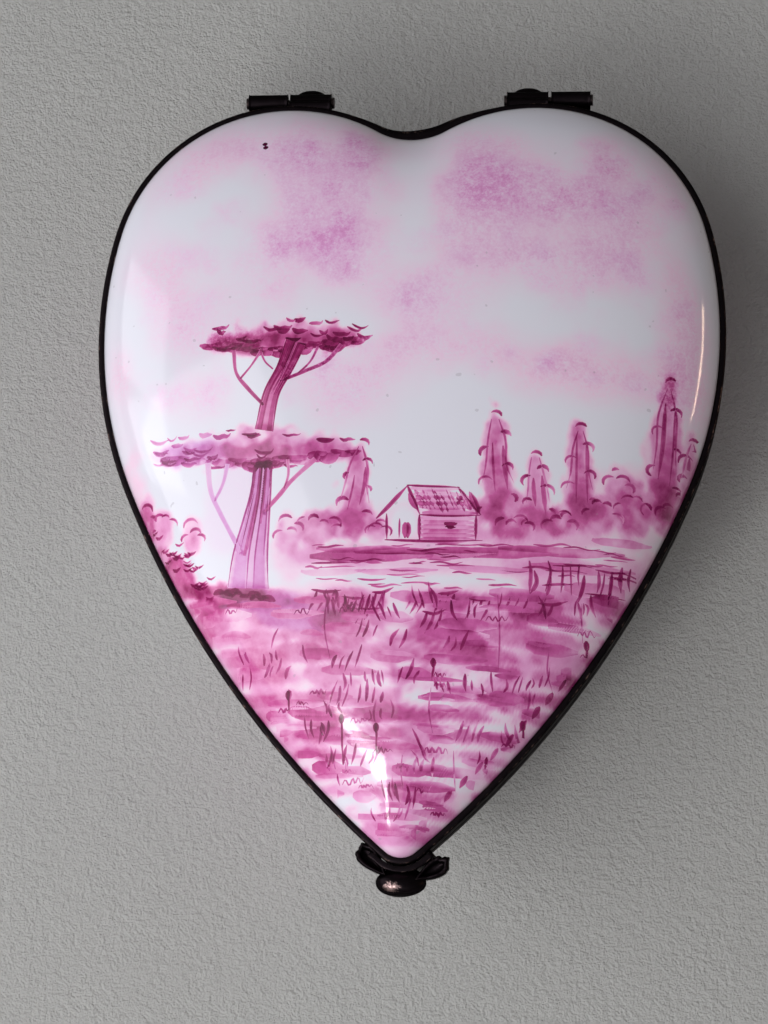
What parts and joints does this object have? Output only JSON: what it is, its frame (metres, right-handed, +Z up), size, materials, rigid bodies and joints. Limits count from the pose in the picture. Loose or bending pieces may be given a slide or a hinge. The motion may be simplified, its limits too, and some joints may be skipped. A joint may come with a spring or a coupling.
{
  "type": "heart-shaped trinket box",
  "caption": "Small heart-shaped porcelain trinket box with a domed hinged lid, metal rims, rear hinges and a snap catch with a bow-shaped thumb piece.",
  "frame": {"origin": "middle of the object's box on the plane that its foot ring rests on", "axes": "+Z up, +Y towards the hinges behind the lobes, -Y towards the catch at the point, X across the heart"},
  "size_m": [0.06, 0.0791, 0.0277],
  "materials": {
    "lid_glaze": "glossy white porcelain glaze with a rose and lilac landscape painted on it",
    "base_glaze": "glossy white porcelain glaze with rose painted washes, unglazed at the foot ring",
    "painted_strokes": "dark plum enamel brush strokes under the same gloss",
    "plaster": "matt off-white plaster",
    "rim_metal": "near-black patinated bronze, worn brighter along its edges",
    "hinge_metal": "dark patinated bronze, satin",
    "clasp_metal": "dark patinated bronze with warmer rubbed highlights",
    "bright_metal": "dark bronze, satin, a little lighter than the rims"
  },
  "bodies": {
    "box": {"base_porcelain": "base_glaze", "base_bedding": "plaster", "base_rim": "rim_metal", "catch_bead": "bright_metal", "left_base_knuckle": "hinge_metal", "left_hinge_pin": "bright_metal", "right_base_knuckle": "hinge_metal", "right_hinge_pin": "bright_metal"},
    "lid": {"lid_porcelain": "lid_glaze", "lid_bedding": "plaster", "lid_rim": "rim_metal", "left_lid_knuckle": "hinge_metal", "right_lid_knuckle": "hinge_metal", "catch_plate": "rim_metal", "thumb_knob": "clasp_metal", "left_bow_loop": "clasp_metal", "right_bow_loop": "clasp_metal"}
  },
  "joints": [
    {"name": "lid_hinge", "type": "hinge", "parent": "box", "child": "lid", "pos_m": [0, 0.03809, 0.01703], "axis": [-1, 0, 0], "range_deg": [0, 100]}
  ]
}
